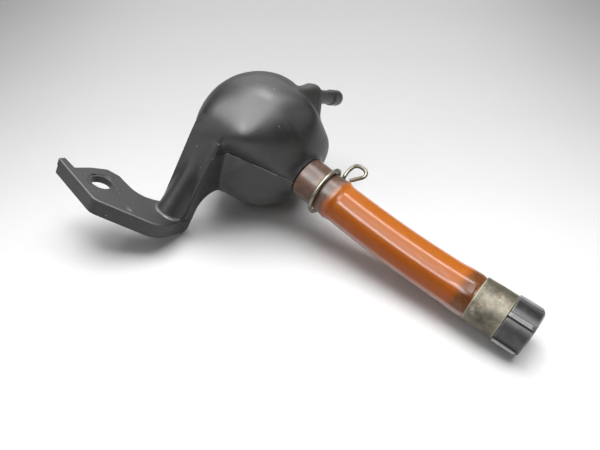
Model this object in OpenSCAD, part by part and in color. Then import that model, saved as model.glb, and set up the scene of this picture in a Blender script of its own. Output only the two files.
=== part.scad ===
// Breather drain tank: a moulded two-half tank with its own stay, a clear drain tube
// held on by a wire clip, and a banded drain plug at the tube's free end.
// Stay frame: the mounting hole's axis is Z and the tab's top face is at height zero, the
// drain leaves the tank along X and the breather nipple leaves it along Y.

/* [Stay] */
// Diameter of the mounting hole
stay_hole_d = 7; // [6:0.1:8]
// Diameter of the shallow bolt seat round the mounting hole
bolt_seat_d = 9.2; // [8.6:0.1:12]
// Depth of the bolt seat
bolt_seat_depth = 0.3; // [0.1:0.05:0.6]
// Radius of the lobe round the mounting hole
lobe_r = 8.8; // [8:0.1:11]
// Radius of the hollow neck between the lobe and the arm
neck_r = 8.9; // [7:0.1:10]
// Direction of the neck's centre, seen from the mounting hole
neck_angle = 70.5; // [66:0.5:74]
// Thickness of the stay's plate
plate_t = 2.8; // [2.2:0.1:3.6]
// Depth of the flange below the tab's top face
tab_flange_h = 5.9; // [4.5:0.1:8]
// Depth of the flange behind the arm's outer face
arm_flange_h = 4.9; // [4:0.1:7]
// Thickness of the flange and the web
flange_t = 2.4; // [1.6:0.1:3]
// Length of the finger past the mounting hole
finger_reach = 15.2; // [12:0.1:20]
// Distance from the mounting hole to the flange's corner, along the drain
elbow_x = 7.5; // [4:0.1:11]
// Distance from the mounting hole to the flange's corner, away from the tank
elbow_y = 8.6; // [7:0.1:11]
// Distance from the mounting hole to the arm's outer face
arm_y = 14.5; // [13:0.1:18]
// Distance from the mounting hole to the arm's front edge
arm_front = 26.4; // [24:0.1:30]
// Width of the arm
arm_w = 11.8; // [9:0.1:12.6]
// Radius of the arm's rounded back edge
arm_edge_r = 1.2; // [0.5:0.1:2]
// Radius of the fillet where the arm meets the tab
bend_fillet_r = 2; // [1:0.1:3]
// Radius of the flange's corner at the bend
flange_corner_r = 2.2; // [1:0.1:3]
// Radius of the arch under the web
arch_r = 7; // [5:0.1:8]
// Height of the roof's corner over the tank's centre
crease_rise = 9.5; // [8.5:0.1:10.5]
// Distance from the mounting hole to the roof's corner, along the drain
crease_end = 34.3; // [32:0.1:35.5]
// Radius of the roof's corner and of the crest behind it
crease_r = 3; // [2.4:0.1:3.4]
// Radius of the soft bend from the arm into the roof, on the arm's back side
roof_bend_r = 12.5; // [10:0.1:13.5]

/* [Tank] */
// Radius of the tank
tank_r = 23.7; // [22:0.1:25]
// Thickness of the tank's wall
tank_wall = 2.2; // [1.6:0.1:3]
// Distance from the mounting hole to the tank's centre, along the drain
tank_x = 26.8; // [24:0.1:30]
// Distance from the mounting hole to the tank's centre, away from the arm's outer face
tank_y = 37.1; // [35:0.1:40]
// Height of the tank's centre over the mounting hole
tank_z = 33.1; // [30:0.1:37]
// Tilt of the parting plane about the drain's axis
parting_tilt = 15; // [5:1:25]
// How far the lower half is set in at the parting line
parting_step = 0.4; // [0:0.05:0.8]
// How sharply the tank's flats turn into its round body
flat_sharpness = 8; // [5:0.5:10]
// How far the tank's front swells beside the drain
front_swell = 2.8; // [0:0.1:3.5]
// How far the tank dips under the breather boss
boss_dip = 2.8; // [0:0.1:3.5]
// How far the tank's underside swells where it rests on a table
foot_swell = 1.6; // [0.5:0.1:3]

/* [Breather nipple] */
// Diameter of the nipple's neck
nipple_neck_d = 4.9; // [4.2:0.1:5.4]
// Diameter of the nipple's barb
nipple_barb_d = 5.9; // [5.5:0.1:7]
// Diameter of the nipple's bore
nipple_bore_d = 3; // [2:0.1:3.4]
// Length of the nipple from the boss to its tip
nipple_len = 20.6; // [16:0.1:26]
// Length of the barb's straight land
barb_land = 5.5; // [4:0.1:7]
// Radius of the barb's rounded tip
barb_tip_r = 1.9; // [1:0.1:2]
// Radius of the boss that carries the nipple
boss_r = 4.3; // [4:0.1:5]
// Radius of the boss's foot on the tank
boss_foot_r = 7.6; // [6:0.1:9]
// Height of the nipple's axis over the tank's centre
nipple_rise = 21.3; // [20:0.1:22]
// Distance from the tank's centre plane to the boss's end face
boss_reach = 9.9; // [8:0.1:14]
// Distance from the tank's centre to the nipple's axis, along the drain
nipple_shift = 5; // [2:0.1:7]

/* [Drain tube] */
// Distance from the tank's centre to the tube's end on the tank
drain_reach = 22; // [20.5:0.1:22.5]
// Outer diameter of the drain tube
tube_od = 14; // [12:0.1:16]
// Bore of the drain tube
tube_bore_d = 10; // [9:0.1:10.4]
// Length of the drain tube
tube_len = 77.3; // [70:0.1:90]
// Length of the tube's straight cuff on the spigot
cuff_len = 18; // [16:0.1:22]
// Length of the tube's straight end round the plug
tail_len = 17.3; // [16.5:0.1:20]
// Angle through which the tube bends up to lie along the table
tube_bend = 9.2; // [2:0.1:16]
// Outer diameter of the drain spigot
spigot_od = 10.4; // [9.6:0.1:11]
// Bore of the drain spigot
spigot_bore = 7.4; // [5:0.1:8]
// Length of the drain spigot
spigot_len = 15; // [12:0.1:15.5]
// Height of the swell where the plug's stem stretches the tube
bell_rise = 0.3; // [0.1:0.05:0.6]
// Height of the bead near the spigot's end
spigot_bead = 0.4; // [0.2:0.05:0.6]
// Diameter of the collar that the tube's end stops against
collar_d = 13; // [12.4:0.1:13.8]

/* [Tube clip] */
// Diameter of the clip's wire
wire_d = 1.35; // [1:0.05:1.6]
// Distance of the clip from the tube's end on the tank
clip_at = 9.1; // [6:0.1:11]
// Advance of the clip's ring in one turn
clip_pitch = 2.2; // [1.9:0.1:3]
// Length of the clip's finger loop
loop_len = 8.5; // [7:0.1:11]
// Width of the clip's finger loop
loop_w = 4.4; // [4:0.1:6]

/* [Drain plug] */
// Diameter over the plug's ribs
plug_od = 16.2; // [15:0.1:18]
// Length of the plug's head
plug_head_len = 8; // [6:0.1:11]
// Length of the plug's stem in the tube
plug_stem_len = 14.6; // [12:0.1:16]
// Number of ribs round the plug's head
plug_ribs = 4; // [3:1:8]
// Height of a plug rib
plug_rib_h = 1.15; // [0.6:0.05:1.4]
// Width of a plug rib
plug_rib_w = 1.3; // [1:0.1:2.4]
// Turn of the first rib from level, as the part lies
plug_turn = 29; // [0:1:90]
// Width of the band round the tube's end
band_w = 9.8; // [7:0.1:12]
// Thickness of the band's sheet
band_t = 0.4; // [0.3:0.05:0.7]

/* [Lying pose] */
// Roll of the stay about the drain's axis as the part lies
stay_roll = -28.5; // [-32:0.5:-25]
// Slope of the drain's axis as the part lies
drain_slope = 13.5; // [10:0.5:17]
// Direction of the drain's axis on the table
drain_yaw = -41; // [-180:1:180]

/* [Hidden] */
$fn = 48;
// Gap of a push fit, and of the weld line round the collar
fit_gap = 0.05;
weld_gap = 0.1;
// Gap between the clip and the widest part of the tube's cuff
clip_gap = 0.15;
// Overlap that lets solids merge without sharing a face
merge = 0.02;
// How far cuts run past the faces that they open
past = 1;
// How far the tube's bend runs into its straight ends
bend_lap = 0.3;

arm_back = arm_front - arm_w;
arm_inner = arm_y + plate_t;
tank_at = [tank_x, tank_y, tank_z];
collar_face = tank_x + drain_reach;
boss_end = tank_y + boss_reach;
nipple_at = [tank_x + nipple_shift, boss_end, tank_z + nipple_rise];
boss_drop = 8;
boss_edge = 1;
chamber_r = 2.2;
chamber_drop = 4.5;
fillet_edge = 0.4;
tube_r = tube_od / 2;
tube_bore_r = tube_bore_d / 2;
tube_wall = tube_r - tube_bore_r;
collar_len = 8;
spigot_r = spigot_od / 2;
bead_r = spigot_r + spigot_bead;
bead_len = 2.5;
cuff_r = spigot_r + fit_gap + tube_wall - 0.1;
bulge_r = cuff_r + spigot_bead / 2;
arc_len = tube_len - cuff_len - tail_len;
arc_r = arc_len / (tube_bend * PI / 180);
lap_angle = bend_lap / arc_r * 180 / PI;
stem_swell = 0.1;
stem_r = tube_bore_r + stem_swell;
stem_chamfer = 0.8;
head_chamfer = 1;
band_in_r = tube_r + fit_gap;
wire_r = wire_d / 2;
clip_ring_r = bulge_r + clip_gap + wire_r;
clip_start = 8;
clip_sweep = 374;

// Flats on the tank, as a direction in the parting frame and a distance from the centre
tank_flats = [
    [[0.42, -0.91, 0], 15.2],
    [[0, -0.966, 0.259], tank_y - arm_y + 0.4],
    [[1, 0, 0], drain_reach + 0.8]
];
// Swells and dips of the tank, as a direction in the parting frame and a height
tank_swells = [
    [[0.86, 0.47, 0.18], front_swell],
    [[0.45, 0.62, 0.64], -boss_dip],
    [[0.23, 0.23, -0.95], foot_swell]
];
swell_spread = 0.12;

function unit(v) = v / norm(v);
function total(list) = list * [for (v = list) 1];

// Reach of the tank's surface from its centre along d, with all of it moved in by inset
function tank_reach(d, inset) = let (
    swells = [for (w = tank_swells) w[1] * exp((unit(w[0]) * d - 1) / swell_spread)],
    ball = pow(1 / (tank_r + total(swells) - inset), flat_sharpness),
    flats = [for (f = tank_flats) pow(max(0, unit(f[0]) * d) / (f[1] - inset), flat_sharpness)]
) pow(ball + total(flats), -1 / flat_sharpness);

function tank_point(turn, rise, inset) = let (
    d = [cos(rise) * cos(turn), cos(rise) * sin(turn), sin(rise)]
) tank_reach(d, inset) * d;

// Closed skin through rings of equal count, with a flat or pointed cap at either end
function ring_faces(rings, count) = concat(
    [[for (k = [0:count - 1]) k]],
    [for (j = [0:rings - 2], k = [0:count - 1], half = [0, 1])
        let (a = j * count + k, b = j * count + (k + 1) % count)
        half == 0 ? [a, b + count, b] : [a, a + count, b + count]],
    [[for (k = [count - 1:-1:0]) (rings - 1) * count + k]]
);

// Path with every inner corner replaced by an arc of radius r
function rounded(path, r) = [for (k = [0:len(path) - 1])
    each k == 0 || k == len(path) - 1 ? [path[k]] : corner_arc(path[k - 1], path[k], path[k + 1], r)];

function corner_arc(a, b, c, r) = let (
    u = unit(a - b),
    v = unit(c - b),
    half = acos(u * v) / 2,
    centre = b + unit(u + v) * r / sin(half),
    from = b + u * r / tan(half) - centre,
    to = b + v * r / tan(half) - centre,
    turn = 180 - 2 * half,
    side = sign(from.x * to.y - from.y * to.x),
    steps = 6
) [for (k = [0:steps]) let (t = side * turn * k / steps)
    centre + [from.x * cos(t) - from.y * sin(t), from.x * sin(t) + from.y * cos(t)]];

// Path moved to its left by t, with mitred corners
function inset_path(path, t) = [for (k = [0:len(path) - 1]) let (
    a = unit(path[k] - path[max(k - 1, 0)] + (k == 0 ? path[1] - path[0] : [0, 0])),
    b = k == len(path) - 1 ? a : unit(path[k + 1] - path[k]),
    n = unit([-a.y - b.y, a.x + b.x])
) path[k] + n * t / (n * [-a.y, a.x])];

// Height of the parting plane over the stay frame at a given y
function parting_z(y) = tank_z + (y - tank_y) * tan(parting_tilt);

// Frames

// The part as it lies, with the origin in the mounting hole's mouth on the bolt seat
module lying() rotate([stay_roll, drain_slope, drain_yaw]) translate([0, 0, bolt_seat_depth]) children();

module tank_frame() translate(tank_at) rotate([parting_tilt, 0, 0]) children();

// X along the tube from the collar's face, Z up
module drain_frame() translate([collar_face, tank_y, tank_z]) rotate([-stay_roll, 0, 0]) children();

// Start of the tube's tail, past the bend
module tail_frame() drain_frame() translate([cuff_len, 0, arc_r]) rotate([0, -tube_bend, 0])
    translate([0, 0, -arc_r]) children();

module along_x() rotate([0, 90, 0]) children();

// Profile given as pairs of place along X and radius, turned about X
module turned(profile) rotate([0, 90, 0]) rotate([0, 0, 180]) rotate_extrude()
    polygon([for (p = profile) [p[1], p[0]]]);

// Stay

// How far the finger's end is set back from the flange's corner
finger_set = 2.2;
flange_edge = rounded([
    [-finger_reach, finger_set - elbow_y],
    [elbow_x, -elbow_y],
    [arm_front, arm_y - 10.2],
    [arm_front, arm_inner]
], 4);

neck_centre = (lobe_r + neck_r) * [cos(neck_angle), sin(neck_angle)];

module tab_outline() difference() {
    union() {
        difference() {
            circle(lobe_r);
            polygon([
                [-finger_reach, finger_set - elbow_y],
                [elbow_x, -elbow_y],
                [elbow_x, -elbow_y - lobe_r],
                [-finger_reach, -elbow_y - lobe_r]
            ]);
        }
        polygon(concat(
            flange_edge,
            [[neck_centre.x, arm_inner], [neck_centre.x, 0], [-lobe_r, flange_t - elbow_y + finger_set],
            [-finger_reach, flange_t - elbow_y + finger_set]]
        ));
    }
    translate(neck_centre) circle(neck_r);
}

module tab_plate() translate([0, 0, -plate_t]) linear_extrude(plate_t) tab_outline();

// Flat tab under the arm's foot, with the mounting hole and its bolt seat
module stay_tab() color("#303131") lying() difference() {
    tab_plate();
    translate([0, 0, -plate_t - past]) cylinder(d = stay_hole_d, h = plate_t + 2 * past);
    translate([0, 0, -bolt_seat_depth]) cylinder(d = bolt_seat_d, h = bolt_seat_depth + past);
}

module arm_outline() {
    translate([arm_back, arm_y + arm_edge_r]) square([arm_w, plate_t - arm_edge_r]);
    translate([arm_back + arm_edge_r, arm_y]) square([arm_w - arm_edge_r, plate_t]);
    translate([arm_back + arm_edge_r, arm_y + arm_edge_r]) circle(arm_edge_r);
}

arm_top = tank_z + crease_rise;
// Height of the soft bend's centre over the tank's centre, and how far the corner is set back
roof_bend_rise = 0.9;
roof_bend_turn = 60;
corner_set = 1.1;
// Ends of the roof's crest, from the tank's centre
roof_crest = [[7.5, -5.6, 20.3], [10.2, -0.2, 19.7]];
arm_blend = tank_z;
arm_lap = 1.5;

module arm_plate() linear_extrude(arm_blend + arm_lap) arm_outline();

// Fillet at the arm's foot, with a blunt edge on the tab
module bend_fillet() translate([arm_back + arm_edge_r, arm_y, 0]) rotate([90, 0, 90])
    linear_extrude(arm_w - arm_edge_r) difference() {
        translate([fillet_edge - bend_fillet_r, 0])
            square([bend_fillet_r - fillet_edge + merge, bend_fillet_r + merge]);
        translate([-bend_fillet_r, bend_fillet_r]) circle(bend_fillet_r);
    }

// Slab of the flange's thickness at the arm's front edge, from an outline in Y and Z
module front_wall() translate([arm_front - flange_t, 0, 0]) rotate([90, 0, 90])
    linear_extrude(flange_t) children();

web_end = tank_y - 7;

arch_z = 4.5;

// Web between the arm and the tank, with its top edge just below the parting plane
module web_outline() difference() {
    polygon(concat(
        [[arm_inner, -plate_t], [arm_inner - 2, -plate_t]],
        rounded([[arm_inner - 2, -tab_flange_h], [arm_y + arm_flange_h, -tab_flange_h],
            [arm_y + arm_flange_h, arch_z]], flange_corner_r),
        [[web_end, arch_z], [web_end, parting_z(web_end) - merge], [arm_inner, parting_z(arm_inner) - merge]]
    ));
    translate([arm_y + arm_flange_h + arch_r, arch_z]) circle(arch_r);
}

module gusset_outline() polygon([
    [arm_inner - merge, parting_z(arm_inner - merge)],
    [arm_inner + 7, parting_z(arm_inner + 7)],
    [arm_inner + 7, arm_blend + 2],
    [arm_inner - merge, arm_blend + 2]
]);

module tab_flange() translate([0, 0, -tab_flange_h]) linear_extrude(tab_flange_h - plate_t)
    polygon(concat(flange_edge, [for (k = [len(flange_edge) - 1:-1:0])
        inset_path(flange_edge, flange_t)[k]]));

// Tank

tank_turns = 44;
tank_rises = 10;

// Half of the tank's solid, on the upper (1) or lower (-1) side of the parting plane
module half_ball(side, inset) {
    rings = [for (j = [0:tank_rises]) [for (k = [0:tank_turns - 1])
        tank_point(side * k * 360 / tank_turns, side * min(j * 90 / tank_rises, 89.5), inset)]];
    polyhedron([for (ring = rings) each ring], ring_faces(tank_rises + 1, tank_turns));
}

module cavity() {
    rings = [for (j = [-tank_rises:tank_rises]) [for (k = [0:tank_turns - 1])
        tank_point(k * 360 / tank_turns, max(min(j * 90 / tank_rises, 89.5), -89.5), tank_wall)]];
    polyhedron([for (ring = rings) each ring], ring_faces(2 * tank_rises + 1, tank_turns));
}

// Soft bend from the arm's outer face into the roof
module roof_bend_outline() polygon(concat(
    [[0, 0]],
    [for (a = [0 : 3 : roof_bend_turn]) roof_bend_r * [-cos(a), sin(a)]]
));

// Upper half of the ball, drawn out to the arm's top, to the roof's corner and to its crest
module dome() hull() {
    tank_frame() half_ball(1, 0);
    translate([arm_back + arm_edge_r + merge, arm_y + arm_edge_r + merge, arm_blend])
        cylinder(r = arm_edge_r, h = 2, $fn = 24);
    translate([arm_back + merge, arm_y + arm_edge_r, arm_blend])
        cube([arm_edge_r, plate_t - arm_edge_r - merge, 2]);
    translate([arm_front - 1, arm_y + merge, arm_blend]) cube([1 - merge, plate_t, 2]);
    translate([arm_back + arm_edge_r, arm_y + roof_bend_r + merge, tank_z + roof_bend_rise])
        rotate([90, 0, 90]) linear_extrude(1) roof_bend_outline();
    translate([crease_end - crease_r, arm_y + crease_r + corner_set, arm_top - crease_r])
        sphere(crease_r, $fn = 32);
    for (crest_end = roof_crest) translate(tank_at + crest_end) sphere(crease_r, $fn = 32);
}

module along_y() rotate([-90, 0, 0]) children();

// Boss with a rounded end edge, spread out to a wide foot on the tank
module boss() hull() for (foot = [0, 1])
    translate([nipple_at.x, tank_y - 4, nipple_at.z - foot * boss_drop]) along_y() {
        r = foot == 0 ? boss_r : boss_foot_r;
        cylinder(r = r, h = boss_reach + 4 - boss_edge, $fn = 32);
        cylinder(r = r - boss_edge, h = boss_reach + 4, $fn = 32);
    }

module nipple() translate(nipple_at) along_y() {
    cylinder(d = nipple_neck_d, h = nipple_len - barb_land - past);
    translate([0, 0, nipple_len - barb_tip_r - barb_land]) rotate_extrude() intersection() {
        union() {
            polygon([
                [0, -0.8],
                [nipple_neck_d / 2 - merge, -0.8],
                [nipple_barb_d / 2, 0],
                [nipple_barb_d / 2, barb_land],
                [0, barb_land]
            ]);
            translate([nipple_barb_d / 2 - barb_tip_r, barb_land]) circle(barb_tip_r);
            square([nipple_barb_d / 2 - barb_tip_r, barb_land + barb_tip_r]);
        }
        translate([0, -past]) square([nipple_barb_d, nipple_len]);
    }
}

// Bore of the nipple, and the chamber in the boss that joins it to the tank's cavity
module nipple_passage() {
    translate([nipple_at.x, tank_y + 4, nipple_at.z]) along_y()
        cylinder(d = nipple_bore_d, h = boss_reach - 4 + nipple_len + past);
    translate([nipple_at.x, boss_end - 2.6, nipple_at.z]) rotate([90, 0, 0])
        linear_extrude(boss_reach - 4.6) {
            circle(chamber_r);
            translate([0, -chamber_drop]) circle(chamber_r);
            translate([-chamber_r, -chamber_drop]) square([2 * chamber_r, chamber_drop]);
        }
}

module tank_upper_half() color("#303131") lying() difference() {
    union() {
        dome();
        arm_plate();
        bend_fillet();
        front_wall() gusset_outline();
        boss();
    }
    tank_frame() cavity();
    nipple_passage();
    translate([tank_x, tank_y, tank_z]) along_x()
        cylinder(d = collar_d + 2 * weld_gap, h = collar_face - tank_x + past);
}

module breather_nipple() color("#2f302c") lying() difference() {
    nipple();
    nipple_passage();
}

module spigot() drain_frame() turned([
    [-tank_wall, 0],
    [-tank_wall, spigot_r],
    [spigot_len - bead_len, spigot_r],
    [spigot_len - 0.6 * bead_len, bead_r],
    [spigot_len - 0.3 * bead_len, bead_r],
    [spigot_len, spigot_r - 0.3],
    [spigot_len, 0]
]);

module tank_lower_half() color("#2c2d2e") lying() difference() {
    union() {
        tank_frame() half_ball(-1, parting_step);
        front_wall() web_outline();
        tab_flange();
        translate([collar_face - collar_len, tank_y, tank_z]) along_x() cylinder(d = collar_d, h = collar_len);
        spigot();
    }
    tank_frame() cavity();
    translate([tank_x, tank_y, tank_z]) along_x()
        cylinder(d = spigot_bore, h = collar_face - tank_x + spigot_len + past);
}

// Drain

// The straight ends are a hair thicker than the bend, so that their edges stay apart
module drain_tube() color("#c56a1f", 0.8) lying() {
    drain_frame() turned([
        [0, spigot_r + fit_gap],
        [0, cuff_r],
        [spigot_len - bead_len - 1, cuff_r],
        [spigot_len - 0.6 * bead_len, bulge_r],
        [spigot_len, bulge_r],
        [cuff_len - 0.5, tube_r + merge],
        [cuff_len, tube_r + merge],
        [cuff_len, tube_bore_r - merge],
        [spigot_len + 0.6, tube_bore_r - merge],
        [spigot_len, bead_r + fit_gap],
        [spigot_len - bead_len, bead_r + fit_gap],
        [spigot_len - bead_len - 0.6, spigot_r + fit_gap]
    ]);
    drain_frame() translate([cuff_len, 0, arc_r]) rotate([90, 0, 0]) rotate([0, 0, -90 - lap_angle])
        rotate_extrude(angle = tube_bend + 2 * lap_angle) translate([arc_r, 0]) difference() {
            circle(tube_r);
            circle(tube_bore_r);
        }
    tail_frame() turned([
        [0, tube_bore_r - merge],
        [0, tube_r + merge],
        [0.4, tube_r + merge],
        [1.8, tube_r + bell_rise],
        [tail_len - band_w - 1.2, tube_r + bell_rise],
        [tail_len - band_w, tube_r],
        [tail_len, tube_r],
        [tail_len, stem_r + fit_gap],
        [tail_len - plug_stem_len - 0.5, stem_r + fit_gap],
        [tail_len - plug_stem_len - 1, tube_bore_r - merge]
    ]);
}

module plug_band() color("#8d8560") lying() tail_frame() turned([
    [tail_len - band_w, band_in_r],
    [tail_len - band_w, band_in_r + band_t],
    [tail_len, band_in_r + band_t],
    [tail_len, band_in_r]
]);

module plug_section() {
    circle(plug_od / 2 - plug_rib_h);
    for (k = [0:plug_ribs - 1]) rotate(k * 360 / plug_ribs)
        translate([0, -plug_rib_w / 2]) square([plug_od / 2, plug_rib_w]);
}

module drain_plug() color("#3a3a3b") lying() tail_frame() {
    translate([tail_len + fit_gap, 0, 0]) intersection() {
        along_x() rotate(90 + plug_turn) linear_extrude(plug_head_len) plug_section();
        turned([
            [-past, 0],
            [-past, plug_od / 2],
            [plug_head_len - head_chamfer, plug_od / 2],
            [plug_head_len, plug_od / 2 - head_chamfer],
            [plug_head_len, 0]
        ]);
    }
    turned([
        [tail_len - plug_stem_len, 0],
        [tail_len - plug_stem_len, stem_r - stem_chamfer],
        [tail_len - plug_stem_len + stem_chamfer, stem_r],
        [tail_len + past, stem_r],
        [tail_len + past, 0]
    ]);
}

// Clip

// Ring of the clip, as a helix round the tube
ring_points = [for (k = [0:40]) let (t = clip_start + clip_sweep * k / 40)
    [clip_pitch * (k / 40 - 0.5), clip_ring_r * cos(t), clip_ring_r * sin(t)]];
loop_root = ring_points[40];
loop_out = unit([6, 2.9, 5.2]);
loop_side = unit([2.5, -3.15, -1.4]);
// Finger loop, as places along it in its length and across it in its width
loop_plan = [[0.22, -0.34], [0.5, -0.5], [0.8, -0.42], [0.98, -0.16], [0.98, 0.16], [0.8, 0.42],
    [0.55, 0.48], [0.34, 0.4]];
loop_points = smooth(concat([ring_points[39], loop_root], [for (p = loop_plan)
    loop_root + loop_out * p[0] * loop_len + loop_side * p[1] * loop_w]), 4);
clip_path = concat([for (k = [0:38]) ring_points[k]], loop_points);

// Path through the same points with curved spans, each of n steps
function smooth(path, n) = let (last = len(path) - 1) concat(
    [for (k = [0:last - 1], j = [0:n - 1]) let (
        t = j / n,
        a = path[max(k - 1, 0)],
        b = path[k],
        c = path[k + 1],
        d = path[min(k + 2, last)]
    ) b + t * (c - a) / 2 + t * t * (2 * a - 5 * b + 4 * c - d) / 2 + t * t * t * (3 * b - a - 3 * c + d) / 2],
    [path[last]]
);

// Least clear distance between turns of the wire that are not neighbours along it
function along(path) = [for (k = 0, s = 0; k < len(path); s = s + (k + 1 < len(path) ?
    norm(path[k + 1] - path[k]) : 0), k = k + 1) s];
clip_run = along(clip_path);
clip_self_gap = min([for (i = [0:len(clip_path) - 1], j = [i + 1:1:len(clip_path) - 1])
    if (clip_run[j] - clip_run[i] > 4 * wire_d) norm(clip_path[j] - clip_path[i])]) - wire_d;
echo(clip_self_gap = clip_self_gap, clip_wire_length = clip_run[len(clip_run) - 1]);

module tube_clip() color("#7a7762") lying() drain_frame() translate([clip_at, 0, 0]) {
    sides = 8;
    last = len(clip_path) - 1;
    rings = [for (k = [0:last]) let (
        t = unit(clip_path[min(k + 1, last)] - clip_path[max(k - 1, 0)]),
        u = unit(cross(t, [0.87, -0.35, -0.35])),
        v = cross(t, u)
    ) [for (s = [0:sides - 1]) clip_path[k] + wire_r * (cos(s * 360 / sides) * u + sin(s * 360 / sides) * v)]];
    polyhedron([for (ring = rings) each ring], ring_faces(last + 1, sides));
}

stay_tab();
tank_upper_half();
breather_nipple();
tank_lower_half();
drain_tube();
tube_clip();
plug_band();
drain_plug();
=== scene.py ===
import math

import bpy
import numpy as np
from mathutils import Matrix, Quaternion, Vector


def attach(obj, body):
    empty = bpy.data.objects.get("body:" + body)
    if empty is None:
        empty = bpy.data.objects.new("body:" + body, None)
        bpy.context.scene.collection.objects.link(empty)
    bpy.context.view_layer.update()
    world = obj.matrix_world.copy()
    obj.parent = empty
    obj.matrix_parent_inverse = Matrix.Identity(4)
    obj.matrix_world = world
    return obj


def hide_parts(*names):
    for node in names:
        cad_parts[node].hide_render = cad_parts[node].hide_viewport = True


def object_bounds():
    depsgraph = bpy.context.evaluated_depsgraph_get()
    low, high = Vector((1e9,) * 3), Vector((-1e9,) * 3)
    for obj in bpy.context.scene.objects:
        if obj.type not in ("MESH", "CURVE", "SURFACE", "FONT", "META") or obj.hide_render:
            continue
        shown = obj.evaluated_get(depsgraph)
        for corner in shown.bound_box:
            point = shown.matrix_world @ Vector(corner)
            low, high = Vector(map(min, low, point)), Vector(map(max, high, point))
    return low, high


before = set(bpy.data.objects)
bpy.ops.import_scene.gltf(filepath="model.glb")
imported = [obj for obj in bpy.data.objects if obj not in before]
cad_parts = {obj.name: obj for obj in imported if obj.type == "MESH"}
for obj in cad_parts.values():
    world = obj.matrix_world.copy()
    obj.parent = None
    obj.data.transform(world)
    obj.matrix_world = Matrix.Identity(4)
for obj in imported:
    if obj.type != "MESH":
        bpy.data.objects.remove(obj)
cad_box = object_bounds()


# Places. Shapes are worked out in millimetres in the stay's own frame: the mounting hole's axis
# is z, the tab's top is at height zero, the drain leaves along x and the nipple along y.

def turn(axis, degrees):
    """Matrix of a turn about x, y or z."""
    c, s = math.cos(math.radians(degrees)), math.sin(math.radians(degrees))
    i, j = {"x": (1, 2), "y": (2, 0), "z": (0, 1)}[axis]
    m = np.eye(3)
    m[i, i] = m[j, j] = c
    m[i, j], m[j, i] = -s, s
    return m


# How the part lies, in degrees, and how far under the tab's top the row's origin is.
YAW, SLOPE, ROLL = -41, 13.5, -28.5
LYING = turn("z", YAW) @ turn("y", SLOPE) @ turn("x", ROLL)
SEAT_DEPTH = 0.3

TANK_AT = np.array([26.8, 37.1, 33.1])
PARTING = 15
PARTING_TILT = turn("x", PARTING)
DRAIN_AT = TANK_AT + [22.0, 0, 0]
DRAIN_TURN = turn("x", -ROLL)
NIPPLE_AT = TANK_AT + [5.0, 9.9, 21.3]

# Lengths along the tube: straight on the spigot, the bend, and straight round the plug's stem.
TUBE, CUFF, TAIL = 77.3, 18.0, 17.3
BEND = math.radians(9.2)
ARC = TUBE - CUFF - TAIL
ARC_R = ARC / BEND


def to_row(points):
    """From the stay's frame in millimetres to the row's frame in metres."""
    return (np.asarray(points) + [0, 0, SEAT_DEPTH]) @ LYING.T / 1000


def from_drain(points):
    """From the drain's own frame, with x out of the tank, to the stay's frame."""
    return np.asarray(points) @ DRAIN_TURN.T + DRAIN_AT


def to_parting(points):
    """From the stay's frame to the parting frame: the tank's centre, and z square to the seam."""
    return (points - TANK_AT) @ PARTING_TILT


def tube_line(s):
    """Centre of the tube, the way it runs and its upper side, at length s, in the stay's frame."""
    s = np.asarray(s, float)
    bent = np.clip(s - CUFF, 0, ARC) / ARC_R
    past = np.maximum(s - CUFF - ARC, 0)
    x = np.minimum(s, CUFF) + ARC_R * np.sin(bent) + past * np.cos(bent)
    z = ARC_R * (1 - np.cos(bent)) + past * np.sin(bent)
    flat = np.zeros_like(s)
    centre = from_drain(np.stack([x, flat, z], -1))
    run = np.stack([np.cos(bent), flat, np.sin(bent)], -1) @ DRAIN_TURN.T
    up = np.stack([-np.sin(bent), flat, np.cos(bent)], -1) @ DRAIN_TURN.T
    return centre, run, up


# Fields. Each gives about the distance of points from a form's surface, less than zero inside.

FAR, TINY = 9.0, 1e-9


def join(a, b, soft):
    """Both forms, with a fillet where they meet."""
    h = np.clip(0.5 + 0.5 * (b - a) / soft, 0, 1)
    return b + (a - b) * h - soft * h * (1 - h)


def cut(a, b, soft):
    """What the two forms share, with a rounded edge."""
    return -join(-a, -b, soft)


def where(mask, field, p):
    """Field worked out only at points in the mask, to save work: the others are far from the form."""
    made = np.full(len(p), FAR)
    if mask.any():
        made[mask] = field(p[mask])
    return made


def rise(value, low, high):
    """From none at low to one at high."""
    return np.clip((value - low) / (high - low), 0, 1)


def rounded(u, v, r):
    """What two flat sides share, with an outer edge of radius r."""
    u, v = u + r, v + r
    return np.minimum(np.maximum(u, v), 0) + np.hypot(np.maximum(u, 0), np.maximum(v, 0)) - r


def slab(flat, across, half, edge):
    """A flat outline given a thickness, with rounded edges."""
    return rounded(flat, np.abs(across) - half, edge)


def box_outline(x, y, low, high, r):
    """Distance from a box with round corners."""
    (left, right), (bottom, top) = zip(low, high)
    u = np.abs(x - (left + right) / 2) - (right - left) / 2
    v = np.abs(y - (bottom + top) / 2) - (top - bottom) / 2
    return rounded(u, v, r)


def outline(x, y, corners):
    """Distance from a closed outline."""
    best = np.full(x.shape, np.inf)
    inside = np.zeros(x.shape, bool)
    for a, b in zip(corners, np.roll(corners, -1, 0)):
        ex, ey = b - a
        wx, wy = x - a[0], y - a[1]
        t = np.clip((wx * ex + wy * ey) / (ex * ex + ey * ey), 0, 1)
        best = np.minimum(best, (wx - ex * t) ** 2 + (wy - ey * t) ** 2)
        inside ^= ((y >= a[1]) != (y >= b[1])) & ((ex * wy > ey * wx) == (b[1] > a[1]))
    return np.where(inside, -1, 1) * np.sqrt(best)


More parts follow.
